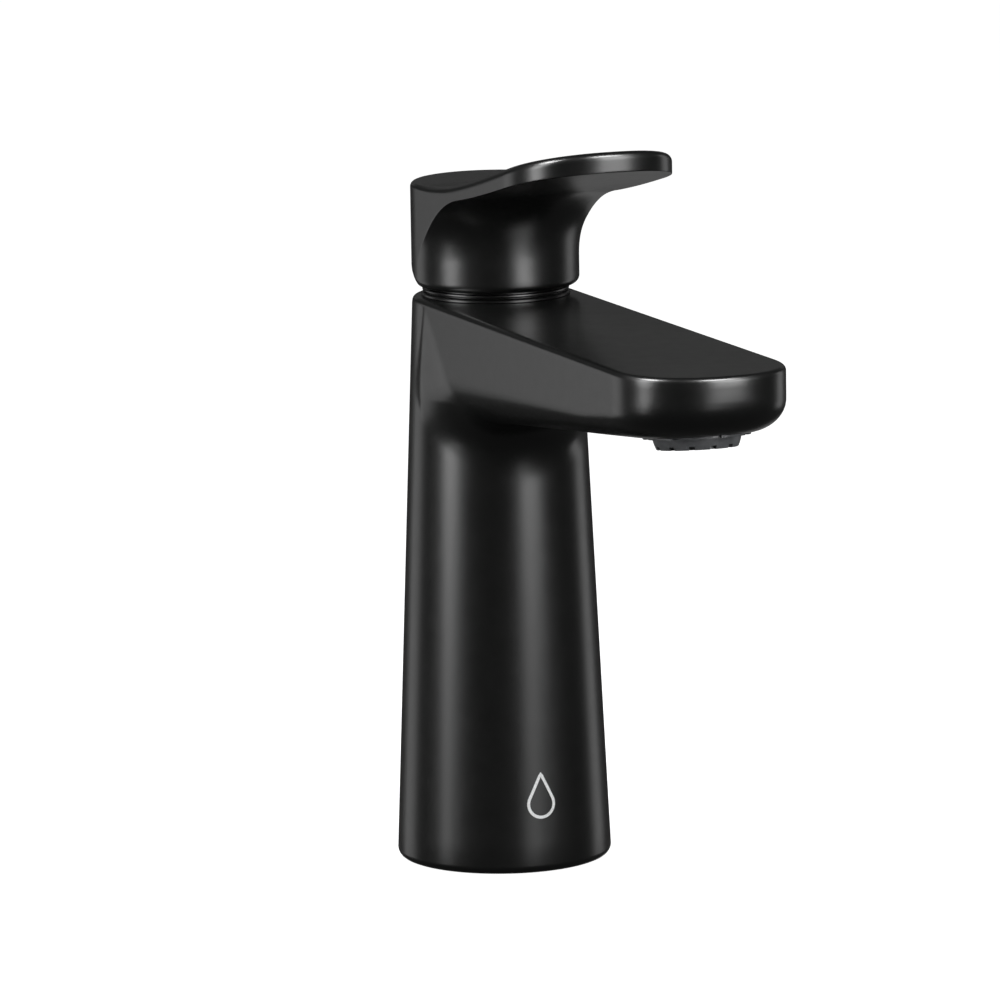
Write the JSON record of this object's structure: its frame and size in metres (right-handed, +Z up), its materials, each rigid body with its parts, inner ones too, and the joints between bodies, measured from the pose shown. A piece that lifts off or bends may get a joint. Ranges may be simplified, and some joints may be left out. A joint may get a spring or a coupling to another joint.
{
  "type": "single lever basin mixer faucet",
  "caption": "Matt black single-lever basin mixer: tapered round column, flat-topped projecting spout with a tilting aerator, and a curved lever that lifts for flow and turns for temperature.",
  "frame": {"origin": "on the column's axis, on the plane of the deck that the mixer stands on", "axes": "+Z up along the column, -Y forward along the spout and the lever, +X across the spout"},
  "size_m": [0.0498, 0.1642, 0.1733],
  "materials": {
    "black_coating": "satin",
    "brass": "machined",
    "rubber": "matte",
    "white_plastic": "moulded",
    "grey_plastic": "moulded",
    "ceramic": "polished",
    "red_plastic": "moulded",
    "steel": "machined",
    "green_plastic": "moulded"
  },
  "bodies": {
    "body": {"body_column": "black_coating", "body_spout": "black_coating", "waterway_core": "brass", "core_seals": "rubber", "mounting_foot": "brass", "base_gasket": "rubber", "trim_ring": "black_coating", "trim_ring_seal": "rubber", "cartridge_nut": "brass", "cartridge_housing": "white_plastic", "cartridge_base": "white_plastic", "port_seals": "rubber", "cartridge_seal": "rubber", "fixed_disc": "ceramic", "rotor_seal": "rubber", "aerator_housing": "grey_plastic", "aerator_washer": "rubber"},
    "rotor": {"cartridge_rotor": "white_plastic", "limit_ring": "red_plastic"},
    "lever": {"lever_handle": "black_coating", "cartridge_stem": "steel", "stem_pin": "steel", "set_screw": "steel", "indicator_plug": "red_plastic"},
    "disc": {"moving_disc": "ceramic", "disc_carrier": "grey_plastic"},
    "nozzle": {"aerator_nozzle": "grey_plastic", "aerator_grid": "grey_plastic", "flow_regulator": "green_plastic", "aerator_screen": "steel"}
  },
  "joints": [
    {"name": "lever_swivel", "type": "hinge", "parent": "body", "child": "rotor", "pos_m": [0, 0, 0.138], "axis": [0, 0, 1], "range_deg": [-50, 50]},
    {"name": "lever_lift", "type": "hinge", "parent": "rotor", "child": "lever", "pos_m": [0, 0, 0.138], "axis": [-1, 0, 0], "range_deg": [0, 20]},
    {"name": "disc_slide", "type": "slide", "parent": "rotor", "child": "disc", "axis": [0, -1, 0], "range_m": [0, 0.00559]},
    {"name": "aerator_tilt", "type": "hinge", "parent": "body", "child": "nozzle", "pos_m": [0, -0.12084, 0.1184], "axis": [1, 0, 0], "range_deg": [-8, 8]}
  ],
  "couplings": [
    {"joint": "disc_slide", "follows": "lever_lift", "m_per_rad": 0.015919}
  ]
}
